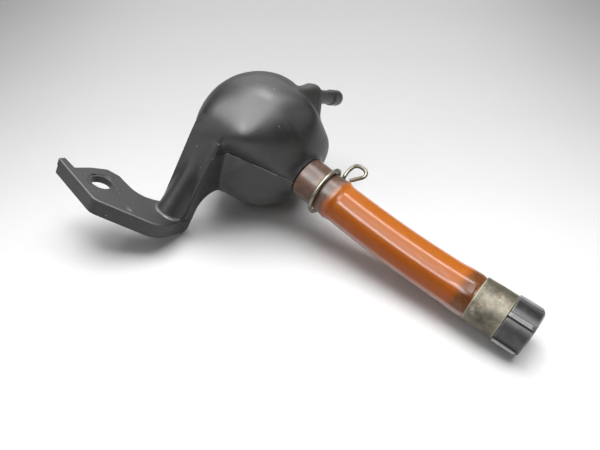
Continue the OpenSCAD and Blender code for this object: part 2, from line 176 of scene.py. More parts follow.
def pair_outline(x, y, low_r, high_r, gap):
    """Distance from two circles, one over the other, and the straight sides between them."""
    x = np.abs(x)
    b = (low_r - high_r) / gap
    a = math.sqrt(1 - b * b)
    k = a * y - b * x
    return np.where(k < 0, np.hypot(x, y) - low_r, np.where(
        k > a * gap, np.hypot(x, y - gap) - high_r, x * a + y * b - low_r))


def rounded_path(path, radii, steps=8):
    """Open path with its inner corners rounded."""
    path = np.array(path, float)
    made = [path[0]]
    for a, b, c, r in zip(path, path[1:], path[2:], radii):
        u, v = (a - b) / np.linalg.norm(a - b), (c - b) / np.linalg.norm(c - b)
        half = math.acos(u @ v) / 2
        middle = b + (u + v) / np.linalg.norm(u + v) * r / math.sin(half)
        start = b + u * r / math.tan(half) - middle
        end = b + v * r / math.tan(half) - middle
        side = np.sign(start[0] * end[1] - start[1] * end[0])
        for k in range(steps + 1):
            t = side * (math.pi - 2 * half) * k / steps
            made.append(middle + [start[0] * math.cos(t) - start[1] * math.sin(t),
                                  start[0] * math.sin(t) + start[1] * math.cos(t)])
    made.append(path[-1])
    return np.array(made)


def smooth_path(path, steps):
    """Path through the same points with curved spans."""
    path = np.asarray(path, float)
    ends = np.concatenate([path[:1], path, path[-1:]])
    t = (np.arange(steps) / steps)[:, None]
    made = []
    for a, b, c, d in zip(ends, ends[1:], ends[2:], ends[3:]):
        made.append(b + t * (c - a) / 2 + t * t * (2 * a - 5 * b + 4 * c - d) / 2
                    + t ** 3 * (3 * b - a - 3 * c + d) / 2)
    return np.concatenate(made + [path[-1:]])


def beside(path, t):
    """Path moved to its left."""
    along = np.gradient(path, axis=0)
    along /= np.linalg.norm(along, axis=1)[:, None]
    return path + np.stack([-along[:, 1], along[:, 0]], -1) * t


# The tank's round body: a ball with flats, swells and a dip, as directions from its centre.

def unit(v):
    """The same direction at length one."""
    v = np.asarray(v, float)
    return v / np.linalg.norm(v)


TANK_R = 23.7
FLATS = [(unit([0.42, -0.91, 0]), 15.2), (unit([0, -0.966, 0.259]), 23.0), (unit([1, 0, 0]), 22.8)]
FLAT_SHARPNESS = 8
SWELLS = [
    (unit([0.86, 0.47, 0.18]), 2.8), (unit([0.45, 0.62, 0.64]), -2.8), (unit([0.23, 0.23, -0.95]), 1.6)]
SWELL_WIDTH = 0.12

# Balls that the upper half is drawn out to: the shoulder over the seam, the roof's crease, the
# arm's back edge, which curls over into the roof, and the arm's root.
SHOULDER, SHOULDER_R = (31.8, 17.8, 38.4), 3.0
CREASE, CREASE_R = [(31.9, 32.4, 54.1), (36.3, 33.1, 53.8), (40.1, 34.4, 52.0)], 2.5
CURL_X, CURL_Y, CURL_Z, CURL_R, CURL_EDGE = 15.0, 30.65, 32.7, 15.4, 0.6
ARM_ROOT = [((14.9, 15.85, 29.2), 1.2), ((14.5, 16.6, 29.2), 0.8), ((25.6, 15.55, 33.0), 0.8)]


def drawn_out():
    """Centres and radii of the balls that the upper half is drawn out to."""
    balls = [(SHOULDER, SHOULDER_R), *[(spot, CREASE_R) for spot in CREASE], *ARM_ROOT]
    for a in np.radians(range(0, 61, 4)):
        spot = (CURL_X, CURL_Y - CURL_R * math.cos(a), CURL_Z + CURL_R * math.sin(a))
        balls.append((spot, CURL_EDGE))
    return balls


def tank_reach(d, inset):
    """How far the round body reaches from its centre along directions d."""
    swell = sum(h * np.exp((d @ n - 1) / SWELL_WIDTH) for n, h in SWELLS)
    total = (TANK_R + swell - inset) ** -FLAT_SHARPNESS
    for n, h in FLATS:
        total = total + (np.maximum(d @ n, 0) / (h - inset)) ** FLAT_SHARPNESS
    return total ** (-1 / FLAT_SHARPNESS)


def ball_field(q, inset):
    """Field of the round body at points in the parting frame."""
    size = np.linalg.norm(q, axis=1) + TINY
    return size - tank_reach(q / size[:, None], inset)


def spread(count):
    """Directions spread evenly over a ball."""
    k = np.arange(count) + 0.5
    z = 1 - 2 * k / count
    a = k * math.pi * (3 - math.sqrt(5))
    r = np.sqrt(1 - z * z)
    return np.stack([r * np.cos(a), r * np.sin(a), z], -1)


class Dome:
    """The upper half's skin: the round body drawn out to the arm's top and to the roof's crease,
    kept as its reach along directions from a point inside it."""

    ROWS, COLUMNS, MARGIN = 240, 480, 3
    SOFT = 8
    INSIDE = np.array([0, 0, 6.0])
    BALL_POINTS, RIM_POINTS, PLANES, BATCHES = 24000, 720, 9000, 9

    def __init__(self):
        normals = spread(self.PLANES)
        far = self.farthest(normals)
        poles = (normals / (far - normals @ self.INSIDE)[:, None]).astype(np.float32)
        v = 2 * math.pi * np.arange(self.COLUMNS) / self.COLUMNS
        reach = []
        for u in math.pi * (np.arange(self.ROWS) + 0.5) / self.ROWS:
            c, s = math.cos(u), math.sin(u)
            d = np.stack([np.full(v.shape, c), s * np.cos(v), s * np.sin(v)], -1)
            reach.append(1 / (d.astype(np.float32) @ poles.T).max(1))
        self.table = self.softened(np.array(reach, float))

    def farthest(self, normals):
        """How far the drawn-out half goes along each normal."""
        ball = spread(self.BALL_POINTS)
        ball = ball[ball[:, 2] > 0]
        a = np.linspace(0, 2 * math.pi, self.RIM_POINTS, endpoint=False)
        ball = np.concatenate([ball, np.stack([np.cos(a), np.sin(a), 0 * a], -1)])
        points = ball * tank_reach(ball, 0)[:, None]
        far = np.concatenate([(some @ points.T).max(1) for some in np.array_split(normals, self.BATCHES)])
        for centre, r in drawn_out():
            far = np.maximum(far, normals @ to_parting(np.array(centre)) + r)
        return far

    def padded(self, table, by):
        """The table with rows that carry on over the poles and columns that carry on round."""
        half = self.COLUMNS // 2
        over, under = np.roll(table[:by][::-1], half, 1), np.roll(table[-by:][::-1], half, 1)
        table = np.concatenate([over, table, under])
        return np.concatenate([table[:, -by:], table, table[:, :by]], 1)

    def softened(self, table):
        """The table with its ridges softened, and a margin round it."""
        half = 3 * self.SOFT
        table = self.padded(table, half + self.MARGIN)
        weights = np.exp(-0.5 * (np.arange(-half, half + 1) / self.SOFT) ** 2)
        weights /= weights.sum()
        for axis in (0, 1):
            table = sum(w * np.roll(table, k - half, axis) for k, w in enumerate(weights))
        return table[half:-half, half:-half]

    @staticmethod
    def shares(t):
        """Shares of four neighbours in a smooth curve between the middle two."""
        near, next_near = (3 * t ** 3 - 6 * t * t + 4) / 6, (-3 * t ** 3 + 3 * t * t + 3 * t + 1) / 6
        return (1 - t) ** 3 / 6, near, next_near, t ** 3 / 6

    def __call__(self, q):
        """Field of the skin at points in the parting frame."""
        d = q - self.INSIDE
        size = np.linalg.norm(d, axis=1) + TINY
        u = np.arctan2(np.hypot(d[:, 1], d[:, 2]), d[:, 0]) * self.ROWS / math.pi - 0.5 + self.MARGIN
        v = np.arctan2(d[:, 2], d[:, 1]) * self.COLUMNS / (2 * math.pi) % self.COLUMNS + self.MARGIN
        i, j = np.floor(u).astype(int), np.floor(v).astype(int)
        reach = 0
        for m, row_share in enumerate(self.shares(u - i)):
            for n, column_share in enumerate(self.shares(v - j)):
                reach = reach + row_share * column_share * self.table[i + m - 1, j + n - 1]
        return size - reach


dome = Dome()


# The tank's two mouldings. The stay's tab, arm and heel go with the upper one, and the flange
# under them and the web in the stay's angle with the lower one.

EDGE, FINE_EDGE = 0.35, 0.3
SEAM_GAP, LOWER_INSET = 0.13, 0.12

ARM_BACK, ARM_FRONT, ARM_Y, ARM_INNER = 14.6, 26.4, 14.5, 17.3
ARM_FOOT, ARM_TOP, ARM_CORNER, ARM_FILLET = -2.0, 36.0, 0.9, 1.5
ARM_SPARE, ARM_WIDENING, WIDE_Z = 0.33, 0.45, 30.0
LEAN, LEAN_FROM, LEAN_TO, LEAN_CURVE = 2.4, 30.0, 38.0, 1.7
LIP_X = 25.7

PLATE, TAB_FILLET = 2.8, 0.6
HOLE_R, SEAT_R, SEAT_SHOWN, SEAT_EDGE = 3.5, 4.6, 0.16, 0.1
FLANGE_EDGE = rounded_path([[-15.2, -6.4], [7.5, -8.6], [ARM_FRONT, 4.3], [ARM_FRONT, ARM_INNER]], (5, 8))
NECK = smooth_path([
    [14.2, ARM_INNER], [14.1, 14.8], [13.4, 13.2], [12.2, 11.7], [10.6, 10.3], [8.4, 9.2], [5.8, 8.6]], 4)
LOBE = [[1.5, 8.7], [-2, 9], [-6.4, 7], [-7.5, 4.4], [-8.6, 1.2], [-9, -1.5], [-9.4, -4.2], [-15.2, -3.9]]
TAB_CORNERS = np.concatenate([FLANGE_EDGE, NECK, LOBE])

FLANGE_WIDTH, FLANGE_START, FLANGE_FOOT, FLANGE_HALF = 2.4, -14.75, -5.9, 2.7
FLANGE_LAP, FLANGE_INSET, FLANGE_ROUND = 0.5, 0.01, 0.4
FLANGE_CORNERS = np.concatenate([FLANGE_EDGE, beside(FLANGE_EDGE, FLANGE_WIDTH)[::-1]])

HEEL_X, HEEL_HALF, HEEL_OUT, HEEL_TOP, HEEL_FILLET = 20.2, 5.45, 5.3, 30.0, 0.8
HEEL_FOOT, HEEL_STEEPNESS, HEEL_FADE = -0.6, 0.75, 1.3

SEAM_Y, SEAM_R = 14.6, 2.4
WALL_END, WALL_LOW, WALL_HIGH, WALL_HALF, WALL_FILLET = 24.3, 18.0, 34.0, 1.2, 0.5
ARCH_Y, ARCH_Z, ARCH_R, ARCH_EDGE = 26.4, 4.5, 7.0, 0.6
WEB_FACE, WEB_HALF, WEB_END, WEB_HIGH, WEB_FILLET = 26.15, 1.1, 30.1, 36.0, 1.4
WEB_GAP, WEB_SEAM = 0.03, 0.1
WEB_CORNERS = np.concatenate([
    [[ARM_INNER, -1.5], [15.3, -1.5]],
    rounded_path([[15.3, FLANGE_FOOT], [19.4, FLANGE_FOOT], [19.4, ARCH_Z]], (2.2,)),
    [[WEB_END, ARCH_Z], [WEB_END, WEB_HIGH], [SEAM_Y, WEB_HIGH], [SEAM_Y, 0.3], [ARM_INNER, 0.3]]])

COLLAR_R, COLLAR_FLARE, COLLAR_FROM, COLLAR_TO, COLLAR_FILLET = 7.2, 0.25, 40.0, 48.6, 2.4
SPIGOT_R, SPIGOT_BORE_R, SPIGOT_FROM, SPIGOT_TO = 5.2, 3.7, -5.0, 15.0
ROOT_R, ROOT_LENGTH = 5.6, 8.0
BEAD_AT, BEAD_RISE, BEAD_WIDTH = 13.3, 0.4, 0.8

BOSS_R, BOSS_LOW_R, BOSS_DROP, BOSS_HALF, BOSS_FILLET = 4.3, 7.6, 8.0, 7.0, 1.6
BOSS_STRAIGHT, BOSS_TAPER, BOSS_EDGE = 3.0, 0.25, 1.0


def seam(y, z):
    """On the wall beside the arm: less than zero on the upper moulding's side of the seam, which
    comes along the parting plane and turns down the arm's edge in a curve."""
    tilt = math.radians(PARTING)
    parting_z = TANK_AT[2] + (y - TANK_AT[1]) * math.tan(tilt)
    u = SEAM_R - (y - SEAM_Y)
    v = SEAM_R - (parting_z - z) * math.cos(tilt)
    return np.maximum(SEAM_R - np.maximum(u, v), SEAM_R) - np.hypot(np.maximum(u, 0), np.maximum(v, 0))


def tab_field(p):
    """The stay's flat tab, with its hole and the shallow seat round it."""
    x, y, z = p.T
    plate = slab(outline(x, y, TAB_CORNERS), z + PLATE, PLATE, EDGE)
    plate = np.maximum(plate, -PLATE - z)
    r = np.hypot(x, y)
    plate = cut(plate, HOLE_R - r, EDGE)
    return cut(plate, -np.maximum(-SEAT_SHOWN - z, r - SEAT_R), SEAT_EDGE)


def heel_face(x, z):
    """How far the arm's heel stands out from the arm's outer face: a round foot that fades upwards."""
    share = rise(z, 0, HEEL_TOP)
    across = np.clip(1 - ((x - HEEL_X) / HEEL_HALF) ** 2, 0, 1)
    return HEEL_OUT * (1 - share) ** HEEL_FADE * across ** (0.5 + 2 * share)


def heel_field(p):
    """The arm's heel, which sinks into the arm towards its top."""
    x, y, z = p.T
    out = (ARM_Y - heel_face(x, z) + rise(z, 0, HEEL_TOP) - y) * HEEL_STEEPNESS
    ends = np.maximum(HEEL_FOOT - z, np.abs(x - HEEL_X) - HEEL_HALF)
    return np.maximum(np.maximum(out, y - ARM_INNER), ends)


def arm_field(p):
    """The arm, which leans back into the dome at its top, and the wall beside it up to the seam."""
    x, y, z = p.T
    back = LEAN * rise(z, LEAN_FROM, LEAN_TO) ** LEAN_CURVE
    wider = ARM_WIDENING * (1 + rise(z, 0, WIDE_Z))
    low, high = (ARM_BACK - ARM_SPARE, ARM_Y), (ARM_FRONT + ARM_SPARE, ARM_INNER)
    flat = np.maximum(box_outline(x + wider / 2, y - back, low, high, ARM_CORNER), x - LIP_X)
    arm = slab(flat, z - (ARM_TOP + ARM_FOOT) / 2, (ARM_TOP - ARM_FOOT) / 2, FINE_EDGE)
    wall = np.maximum(np.maximum(y - WALL_END, SEAM_Y + back - y), np.maximum(z - WALL_HIGH, WALL_LOW - z))
    wall = slab(np.maximum(seam(y, z), wall), x - ARM_FRONT + WALL_HALF, WALL_HALF, EDGE)
    return join(arm, wall, WALL_FILLET)


def boss_field(p):
    """The nipple's boss, which tapers towards the dome."""
    x, y, z = p.T
    flat = pair_outline(x - NIPPLE_AT[0], z - NIPPLE_AT[2] + BOSS_DROP, BOSS_LOW_R, BOSS_R, BOSS_DROP)
    flat = flat + BOSS_TAPER * np.maximum(NIPPLE_AT[1] - BOSS_STRAIGHT - y, 0)
    return slab(flat, y - NIPPLE_AT[1] + BOSS_HALF, BOSS_HALF, BOSS_EDGE)


def collar_field(p):
    """Swelling of the tank round the drain, which the tube's end butts on."""
    x, y, z = p.T
    r = np.hypot(y - DRAIN_AT[1], z - DRAIN_AT[2])
    ends = np.maximum(x - COLLAR_TO, COLLAR_FROM - x)
    return np.maximum(r - COLLAR_R - COLLAR_FLARE * (COLLAR_TO - x), ends)


def upper_field(p):
    """The upper moulding, without its nipple."""
    y, z = p[:, 1], p[:, 2]
    q = to_parting(p)
    body = join(np.minimum(dome(q), ball_field(q, 0)), collar_field(p), COLLAR_FILLET)
    body = cut(body, SEAM_GAP - q[:, 2], FINE_EDGE)
    body = join(body, arm_field(p), ARM_FILLET)
    body = join(body, boss_field(p), BOSS_FILLET)
    body = join(body, where((z < HEEL_TOP + 2) & (y < 18), heel_field, p), HEEL_FILLET)
    return join(body, where(z < 9, tab_field, p), TAB_FILLET)


def spigot_field(p):
    """The drain spigot inside the tube, with its bead and its thicker root in the tank's wall."""
    x, y, z = p.T
    x = x - DRAIN_AT[0]
    r = np.hypot(y - DRAIN_AT[1], z - DRAIN_AT[2])
    bead = BEAD_RISE * np.exp(-((x - BEAD_AT) / BEAD_WIDTH) ** 2)
    root = np.maximum(np.abs(x + ROOT_LENGTH / 2) - ROOT_LENGTH / 2, r - ROOT_R)
    pipe = np.maximum(np.maximum(SPIGOT_FROM - x, x - SPIGOT_TO), r - SPIGOT_R - bead)
    return np.maximum(np.minimum(root, pipe), SPIGOT_BORE_R - r)


def web_field(p):
    """The web in the stay's angle, with the arch under it, up to the seam."""
    x, y, z = p.T
    flat = outline(y, z, WEB_CORNERS)
    flat = cut(flat, ARCH_R - np.hypot(y - ARCH_Y, z - ARCH_Z), ARCH_EDGE)
    flat = cut(flat, WEB_SEAM - seam(y, z), FINE_EDGE)
    web = slab(flat, x - WEB_FACE + WEB_HALF, WEB_HALF, EDGE)
    return np.maximum(web, -np.maximum(x - LIP_X - WEB_GAP, y - ARM_INNER - WEB_GAP))


def flange_field(p):
    """The flange under the tab's edge, which laps into the tab."""
    x, y, z = p.T
    flat = cut(outline(x, y, FLANGE_CORNERS) + FLANGE_INSET, FLANGE_START - x, FINE_EDGE)
    rim = slab(flat, z - FLANGE_FOOT - FLANGE_HALF, FLANGE_HALF, FLANGE_ROUND)
    return np.maximum(rim, z + PLATE - FLANGE_LAP)


def lower_field(p):
    """The lower moulding."""
    x, y, z = p.T
    q = to_parting(p)
    body = join(ball_field(q, LOWER_INSET), collar_field(p), COLLAR_FILLET)
    body = cut(body, q[:, 2] + SEAM_GAP, FINE_EDGE)
    body = join(body, where((y < 34) & (x < 32), web_field, p), WEB_FILLET)
    body = join(body, where((z < 4) & (y < 21), flange_field, p), FINE_EDGE)
    return join(body, where(x > 36, spigot_field, p), FINE_EDGE)


# The plug.

PLUG_R, HEAD_START, HEAD_HALF = 6.95, 0.05, 4.0
RIB_START, RIB_COUNT = 29, 4
RIB_ROOT, RIB_TOP, RIB_HALF, RIB_EDGE, RIB_FILLET = 3.0, 8.1, 0.65, 0.22, 0.5
CHAMFER_X, CHAMFER_EDGE = 7.1, 0.4
STEM_R, STEM_BACK, STEM_HALF, STEM_EDGE, STEM_FILLET = 5.1, -14.6, 7.8, 0.8, 0.25


def plug_field(p):
    """The plug in the tube's tail: x from the tube's end, y and z across it."""
    x, y, z = p.T
    r = np.hypot(y, z)
    flat = r - PLUG_R
    for k in range(RIB_COUNT):
        a = math.radians(RIB_START + 360 / RIB_COUNT * k)
        along, aside = y * math.cos(a) + z * math.sin(a), -y * math.sin(a) + z * math.cos(a)
        rib = box_outline(along, aside, (RIB_ROOT, -RIB_HALF), (RIB_TOP, RIB_HALF), RIB_EDGE)
        flat = join(flat, rib, RIB_FILLET)
    head = slab(flat, x - HEAD_START - HEAD_HALF, HEAD_HALF, FINE_EDGE)
    head = cut(head, (x - CHAMFER_X + r - RIB_TOP) * math.sqrt(0.5), CHAMFER_EDGE)
    stem = slab(r - STEM_R, x - STEM_BACK - STEM_HALF, STEM_HALF, STEM_EDGE)
    return join(head, stem, STEM_FILLET)


# Meshes.

BLOCK, BATCH, NEAR_BLOCKS = 8, 300, 1.6
ROUNDS, EVENING = 3, 0.6
BULGE_LOOKS = 14


def block_at(corner):
    """The grid's values in the block at a corner."""
    return tuple(slice(k, k + BLOCK + 1) for k in corner)


def sampled(field, low, high, cell):
    """Values of a field on a grid, worked out in full only in the blocks near its surface."""
    step = cell * BLOCK
    count = np.ceil((np.array(high) - low) / step).astype(int)
    values = np.empty(count * BLOCK + 1, np.float32)
    places = np.indices(count).reshape(3, -1).T
    guess = field(low + (places + 0.5) * step)
    near = np.abs(guess) < NEAR_BLOCKS * step
    for corner, value in zip(places[~near] * BLOCK, guess[~near]):
        values[block_at(corner)] = value
    spots = np.arange(BLOCK + 1)
    offsets = np.stack(np.meshgrid(spots, spots, spots, indexing="ij"), -1).reshape(-1, 3) * cell
    close = places[near] * BLOCK
    for k in range(0, len(close), BATCH):
        some = close[k:k + BATCH]
        points = (low + some * cell)[:, None] + offsets
        found = field(points.reshape(-1, 3)).reshape(-1, BLOCK + 1, BLOCK + 1, BLOCK + 1)
        for corner, block in zip(some, found):
            values[block_at(corner)] = block
    return values


def crossed_cells(values):
    """Middle of the surface in each cell of the grid that it passes, and the cells' numbers."""
    solid = values < 0
    size = np.array(solid.shape) - 1
    corners = [(i, j, k) for i in (0, 1) for j in (0, 1) for k in (0, 1)]
    total = sum(solid[i:size[0] + i, j:size[1] + j, k:size[2] + k].astype(np.uint8) for i, j, k in corners)
    mixed = (total > 0) & (total < 8)
    cells = np.argwhere(mixed)
    number = np.full(mixed.shape, -1, np.int64)
    number[mixed] = np.arange(len(cells))
    at = {c: values[tuple((cells + c).T)].astype(float) for c in corners}
    place, hits = np.zeros((len(cells), 3)), np.zeros(len(cells))
    for a in corners:
        for axis in range(3):
            if a[axis] == 0:
                b = tuple(1 if n == axis else a[n] for n in range(3))
                crosses = (at[a] < 0) != (at[b] < 0)
                spot = np.tile(np.array(a, float), (len(cells), 1))
                spot[:, axis] = at[a] / np.where(crosses, at[a] - at[b], 1)
                place[crosses] += spot[crosses]
                hits[crosses] += 1
    return cells + place / hits[:, None], number


def crossed_faces(solid, number):
    """A face for each edge of the grid that the surface crosses, between the four cells round it."""
    size = np.array(solid.shape) - 1
    faces = []
    for k in range(3):
        i, j = (k + 1) % 3, (k + 2) % 3
        ei, ej = np.eye(3, dtype=int)[[i, j]]
        edge = np.argwhere(np.diff(solid, axis=k))
        inside = (edge[:, i] > 0) & (edge[:, j] > 0) & (edge[:, i] < size[i]) & (edge[:, j] < size[j])
        edge = edge[inside]
        quad = np.stack([number[tuple((edge - o).T)] for o in (ei + ej, ej, 0 * ei, ei)], -1)
        outward = solid[tuple(edge.T)]
        faces.append(np.where(outward[:, None], quad, quad[:, ::-1]))
    return np.concatenate(faces)


def skin(field, low, high, cell):
    """Points, faces and normals of the surface where a field is zero."""
    low = np.array(low, float)
    values = sampled(field, low, high, cell)
    spots, number = crossed_cells(values)
    points = low + spots * cell
    faces = crossed_faces(values < 0, number)
    for k in range(ROUNDS):
        normals = slopes(field, points)
        points -= np.clip(field(points), -cell, cell)[:, None] * normals
        if k == 0:
            shift = neighbours(points, faces) - points
            points += EVENING * (shift - (shift * normals).sum(1)[:, None] * normals)
    return points, faces, slopes(field, points)


def slopes(field, points, h=0.03):
    """Unit directions in which a field grows."""
    made = np.stack([field(points + e) - field(points - e) for e in np.eye(3) * h], -1)
    return made / (np.linalg.norm(made, axis=1)[:, None] + TINY)


def neighbours(points, faces):
    """Mean place of each point's neighbours."""
    total, count = np.zeros_like(points), np.zeros(len(points))
    for k in range(4):
        a, b = faces[:, k], faces[:, (k + 1) % 4]
        for m, n in ((a, b), (b, a)):
            for axis in range(3):
                total[:, axis] += np.bincount(m, points[n, axis], len(points))
            count += np.bincount(m, minlength=len(points))
    return total / np.maximum(count, 1)[:, None]


def bulge(field, points, r):
    """How far a surface stands proud round each point, as a share of r: over zero on edges."""
    return sum(field(points + r * e) for e in spread(BULGE_LOOKS)) / (BULGE_LOOKS * r)


def piece(name, points, faces, marks, normals=None):
    """Mesh object from points in the stay's frame, with marks that its finish reads."""
    mesh = bpy.data.meshes.new(name)
    mesh.vertices.add(len(points))
    mesh.vertices.foreach_set("co", to_row(points).astype(np.float32).ravel())
    mesh.loops.add(faces.size)
    mesh.loops.foreach_set("vertex_index", faces.astype(np.int32).ravel())
    mesh.polygons.add(len(faces))
    mesh.polygons.foreach_set("loop_start", np.arange(0, faces.size, faces.shape[1], dtype=np.int32))
    mesh.update(calc_edges=True)
    mesh.validate()
    mesh.shade_smooth()
    for key, values in marks.items():
        values = np.asarray(values, np.float32)
        single = values.ndim == 1
        mark = mesh.attributes.new(key, "FLOAT" if single else "FLOAT_VECTOR", "POINT")
        mark.data.foreach_set("value" if single else "vector", values.ravel())
    if normals is not None:
        mesh.normals_split_custom_set_from_vertices((normals @ LYING.T).tolist())
    made = bpy.data.objects.new(name, mesh)
    bpy.context.scene.collection.objects.link(made)
    return made


def ring_faces(rings, count, closed):
    """Faces of a skin through rings of equal count."""
    k = np.arange(count)
    rows = np.arange(rings if closed else rings - 1)
    a = (rows[:, None] * count + k).ravel()
    b = (rows[:, None] * count + (k + 1) % count).ravel()
    c = ((rows[:, None] + 1) % rings * count + (k + 1) % count).ravel()
    d = ((rows[:, None] + 1) % rings * count + k).ravel()
    return np.stack([a, d, c, b], -1)


def turned(profile, place, count, wobble=None):
    """A closed profile of places along an axis and radii, turned about that axis: its points, its
    faces, and the points as they lie along and across the axis.
    place gives the centre, the run and the upper side at each place along it."""
    centre, run, up = place(profile[:, 0])
    side = np.cross(up, run)
    a = np.linspace(0, 2 * math.pi, count, endpoint=False)
    r = profile[:, 1][:, None] + np.zeros(count)
    if wobble is not None:
        r = r + wobble(profile[:, 0][:, None], a[None])
    across = np.cos(a)[None, :, None] * side[:, None] + np.sin(a)[None, :, None] * up[:, None]
    points = (centre[:, None] + r[:, :, None] * across).reshape(-1, 3)
    along = np.repeat(profile[:, 0], count)
    local = np.stack([along, (r * np.cos(a)).ravel(), (r * np.sin(a)).ravel()], -1)
    return points, ring_faces(len(profile), count, True), local


def wire(line, r, aside, count=16):
    """Points and faces of a round wire along a line, drawn in at its ends.
    aside is a direction in which the line never runs."""
    run = np.gradient(line, axis=0)
    run /= np.linalg.norm(run, axis=1)[:, None]
    up = np.cross(run, aside)
    up /= np.linalg.norm(up, axis=1)[:, None]
    side = np.cross(run, up)
    a = np.linspace(0, 2 * math.pi, count, endpoint=False)
    rings = []
    for k, size in [(0, 0.25), (0, 0.75), *[(k, 1) for k in range(len(line))], (-1, 0.75), (-1, 0.25)]:
        slip = r * math.sqrt(1 - size * size) * (1 if k else -1) * 0.5
        across = np.cos(a)[:, None] * up[k] + np.sin(a)[:, None] * side[k]
        rings.append(line[k] + slip * run[k] + size * r * across)
    return np.concatenate(rings), ring_faces(len(rings), count, False)


def arc(centre, r, start, end, steps):
    """Places and radii along a round edge."""
    a = np.radians(np.linspace(start, end, steps))
    return np.stack([centre[0] + r * np.cos(a), centre[1] + r * np.sin(a)], -1)


# Finishes.

class Value:
    """A socket in a finish, whose sums add Math nodes."""

    def __init__(self, finish, socket):
        self.finish, self.socket = finish, socket

    def maths(self, operation, *values):
        """A Math node on the values given."""
        return self.finish.node("Math", {"operation": operation}, dict(enumerate(values)))

    def __add__(self, other):
        return self.maths("ADD", self, other)

    def __radd__(self, other):
        return self.maths("ADD", other, self)

    def __sub__(self, other):
        return self.maths("SUBTRACT", self, other)

    def __rsub__(self, other):
        return self.maths("SUBTRACT", other, self)

    def __mul__(self, other):
        return self.maths("MULTIPLY", self, other)

    def __rmul__(self, other):
        return self.maths("MULTIPLY", other, self)

    def __truediv__(self, other):
        return self.maths("DIVIDE", self, other)

    def __rtruediv__(self, other):
        return self.maths("DIVIDE", other, self)

    def __abs__(self):
        return self.maths("ABSOLUTE", self)

    def __gt__(self, other):
        return self.maths("GREATER_THAN", self, other)

    def __lt__(self, other):
        return self.maths("LESS_THAN", self, other)


class Finish:
    """A procedural material, with the nodes that its recipe asks for."""

    def __init__(self, name):
        self.material = bpy.data.materials.new(name)
        self.material.use_nodes = True
        self.tree = self.material.node_tree
        self.tree.nodes.clear()

    def node(self, kind, settings, sockets, out=0):
        """A node of any kind: its settings first, and then the values or links of its sockets."""
        made = self.tree.nodes.new("ShaderNode" + kind)
        for key, value in settings.items():
            if key == "stops":
                ramp = made.color_ramp
                while len(ramp.elements) < len(value):
                    ramp.elements.new(1)
                for element, (at, colour) in zip(ramp.elements, value):
                    element.position, element.color = at, (*colour, 1)
            else:
                setattr(made, key, value)
        for key, value in sockets.items():
            into = self.find(made.inputs, key)
            if isinstance(value, Value):
                self.tree.links.new(value.socket, into)
            elif isinstance(value, tuple) and into.type == "RGBA":
                into.default_value = (*value, 1)
            else:
                into.default_value = value
        return Value(self, self.find(made.outputs, out))

    @staticmethod
    def find(sockets, key):
        """A socket by its number, its identifier or its name."""
        if isinstance(key, int):
            return sockets[key]
        for socket in sockets:
            if socket.identifier == key:
                return socket
        return sockets[key]

    def mark(self, name, out="Fac"):
        """A mark that the mesh carries on its points."""
        return self.node("Attribute", {"attribute_name": name}, {}, out)

    def noise(self, at, scale, detail, rough, warp=0.0):
        """Clouds from none to one, about a half."""
        return self.node("TexNoise", {}, {
            "Vector": at, "Scale": scale, "Detail": detail, "Roughness": rough, "Distortion": warp})

    def cells(self, at, scale, out="Distance"):
        """Scattered spots: the distance from the nearest one, or its own colour."""
        return self.node("TexVoronoi", {}, {"Vector": at, "Scale": scale}, out)

    def stretch(self, at, scale, turned=(0, 0, 0)):
        """Places scaled and then turned by degrees."""
        turned = tuple(math.radians(a) for a in turned)
        return self.node("Mapping", {}, {"Vector": at, "Scale": scale, "Rotation": turned}, "Vector")

    def fade(self, value, low, high, start=0.0, end=1.0):
        """start below low, end above high, and a soft step between."""
        return self.node("MapRange", {"interpolation_type": "SMOOTHSTEP"}, {
            "Value": value, "From Min": low, "From Max": high, "To Min": start, "To Max": end})

    def near(self, at, spot, r, soft):
        """One round a spot, and none away from it."""
        gap = self.node("VectorMath", {"operation": "DISTANCE"}, {0: at, 1: spot}, "Value")
        return self.fade(gap, r, r + soft, 1.0, 0.0)

    def mix(self, amount, a, b):
        """From colour a at none to colour b at one."""
        return self.node("Mix", {"data_type": "RGBA"}, {
            "Factor_Float": amount, "A_Color": a, "B_Color": b}, "Result_Color")

    def layers(self, colour, tints):
        """A colour with tints laid over it one after another, each by its amount."""
        for amount, tint in tints:
            colour = self.mix(amount, colour, tint)
        return colour

    def ramp(self, value, stops):
        """Colour by stops along a value."""
        return self.node("ValToRGB", {"stops": stops}, {"Fac": value}, "Color")

    def bump(self, height, depth):
        """Normal of a relief that is depth millimetres deep."""
        sockets = {"Height": height, "Strength": 1.0, "Distance": depth / 1000}
        return self.node("Bump", {}, sockets, "Normal")

    def done(self, sockets):
        """The material, with these values and links on its one shader."""
        shader = self.node("BsdfPrincipled", {}, sockets, "BSDF")
        out = self.tree.nodes.new("ShaderNodeOutputMaterial")
        self.tree.links.new(shader.socket, out.inputs["Surface"])
        return self.material


NICK_AT, SMEAR_AT = (13.6, -1.8, 0), (8.3, -0.5, 0)


